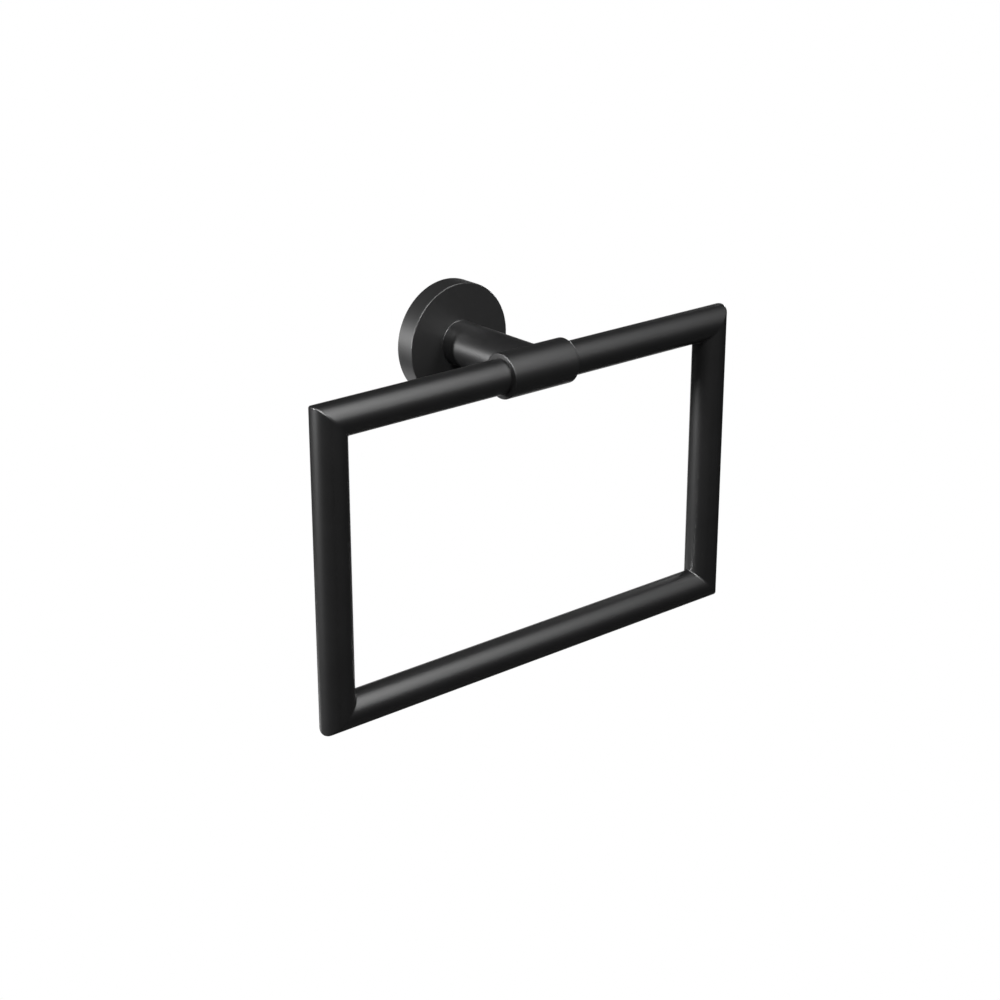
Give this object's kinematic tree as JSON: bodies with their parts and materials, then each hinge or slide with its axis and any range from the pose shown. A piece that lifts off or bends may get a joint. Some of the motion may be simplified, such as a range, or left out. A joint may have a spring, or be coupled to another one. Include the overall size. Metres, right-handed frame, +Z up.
{
  "type": "towel ring",
  "caption": "Rectangular towel ring of round tube with mitred corners, held in the collar of a tee-shaped arm on a round wall flange.",
  "frame": {"origin": "centre of the wall face, on the arm's axis", "axes": "+Z up, +Y into the wall, +X along the ring's top bar; the arm and the ring stand out towards -Y"},
  "size_m": [0.2159, 0.0649, 0.1542],
  "materials": {
    "black_coat": "satin",
    "bracket_steel": "satin",
    "screw_steel": "satin",
    "black_screw_steel": "satin"
  },
  "bodies": {
    "root": {"ring_top_bar": "black_coat", "ring_left_bar": "black_coat", "ring_right_bar": "black_coat", "ring_bottom_bar": "black_coat", "arm": "black_coat", "flange": "black_coat", "wall_bracket": "bracket_steel", "arm_screw": "screw_steel", "arm_washer": "screw_steel", "flange_set_screw": "black_screw_steel", "collar_set_screw": "black_screw_steel"}
  },
  "joints": []
}
